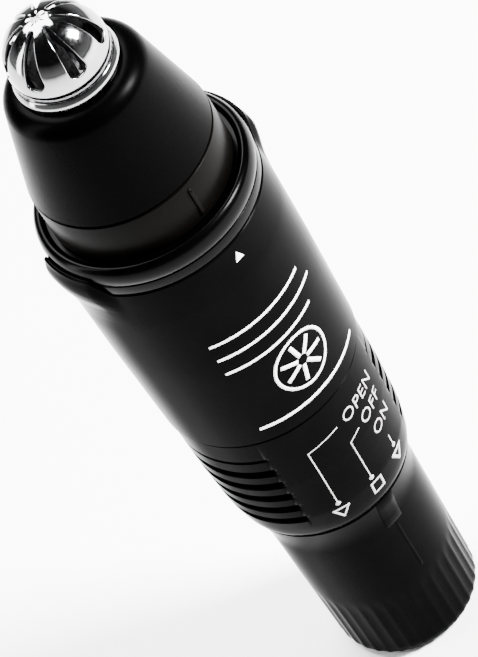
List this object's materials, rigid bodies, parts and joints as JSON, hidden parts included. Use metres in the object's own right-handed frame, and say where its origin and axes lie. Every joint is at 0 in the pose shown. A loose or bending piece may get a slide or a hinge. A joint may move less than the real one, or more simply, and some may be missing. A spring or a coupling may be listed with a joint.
{
  "type": "nose hair trimmer",
  "caption": "Battery nose hair trimmer: slotted chrome dome blade on a conical cap, round barrel with motor, grooved grip and a twist-off battery cap.",
  "frame": {"origin": "centre of the flat base of the rear cap", "axes": "+Z along the body towards the cutting head, -Y towards the marked front, +X to the right when facing the front"},
  "size_m": [0.0288, 0.0268, 0.1138],
  "materials": {
    "satin_black": "satin moulded, fine texture",
    "matte_black": "matt moulded",
    "collar_black": "semi-gloss moulded",
    "chrome": "bright plated",
    "steel": "ground",
    "brass": "stamped",
    "copper": "enamelled wire",
    "grey_plastic": "moulded",
    "white_plastic": "moulded",
    "white_print": "printed",
    "rubber": "moulded",
    "cell_label": "shrink sleeve",
    "ferrite": "sintered"
  },
  "bodies": {
    "rear_cap": {"rear_cap": "satin_black", "spring_plate": "brass", "battery_spring": "steel", "battery": "cell_label", "cap_seal": "rubber", "negative_strip": "brass"},
    "switch_ring": {"switch_ring": "grey_plastic", "switch_contact": "brass"},
    "housing": {"grip_sleeve": "satin_black", "barrel": "satin_black", "pointer_mark": "white_print", "collar": "collar_black", "motor_carrier": "grey_plastic", "motor_end_bell": "white_plastic", "motor_can": "steel", "motor_bushing": "brass", "motor_magnet_left": "ferrite", "motor_magnet_right": "ferrite", "motor_terminal_left": "brass", "motor_terminal_right": "brass", "positive_contact": "brass", "negative_contact": "brass", "head_seat": "grey_plastic", "seat_screw_left": "steel", "seat_screw_right": "steel"},
    "rotor": {"motor_shaft": "steel", "motor_commutator": "copper", "motor_armature": "copper", "drive_coupling": "white_plastic", "blade_spring": "steel"},
    "cutter": {"cutter_hub": "white_plastic", "inner_blade": "steel"},
    "head_collar": {"head_collar": "matte_black"},
    "head": {"head_cap": "matte_black", "head_bezel": "chrome", "outer_blade": "chrome", "blade_retainer": "grey_plastic"}
  },
  "joints": [
    {"name": "body_lift", "type": "slide", "parent": "rear_cap", "child": "switch_ring", "axis": [0, 0, 1], "range_m": [0, 0.032]},
    {"name": "switch_turn", "type": "hinge", "parent": "switch_ring", "child": "housing", "pos_m": [0, 0, 0.04], "axis": [0, 0, 1], "range_deg": [-25, 25]},
    {"name": "motor_spin", "type": "hinge", "parent": "housing", "child": "rotor", "pos_m": [0, 0, 0.075], "axis": [0, 0, 1], "continuous": true},
    {"name": "cutter_press", "type": "slide", "parent": "rotor", "child": "cutter", "axis": [0, 0, 1], "range_m": [-0.0008, 0], "stiffness_N_per_m": 200, "springref_m": 0.002, "deforming": ["blade_spring"]},
    {"name": "head_twist", "type": "hinge", "parent": "housing", "child": "head_collar", "pos_m": [0, 0, 0.087], "axis": [0, 0, 1], "range_deg": [0, 30]},
    {"name": "head_lift", "type": "slide", "parent": "head_collar", "child": "head", "axis": [0, 0, 1], "range_m": [0, 0.022]}
  ]
}
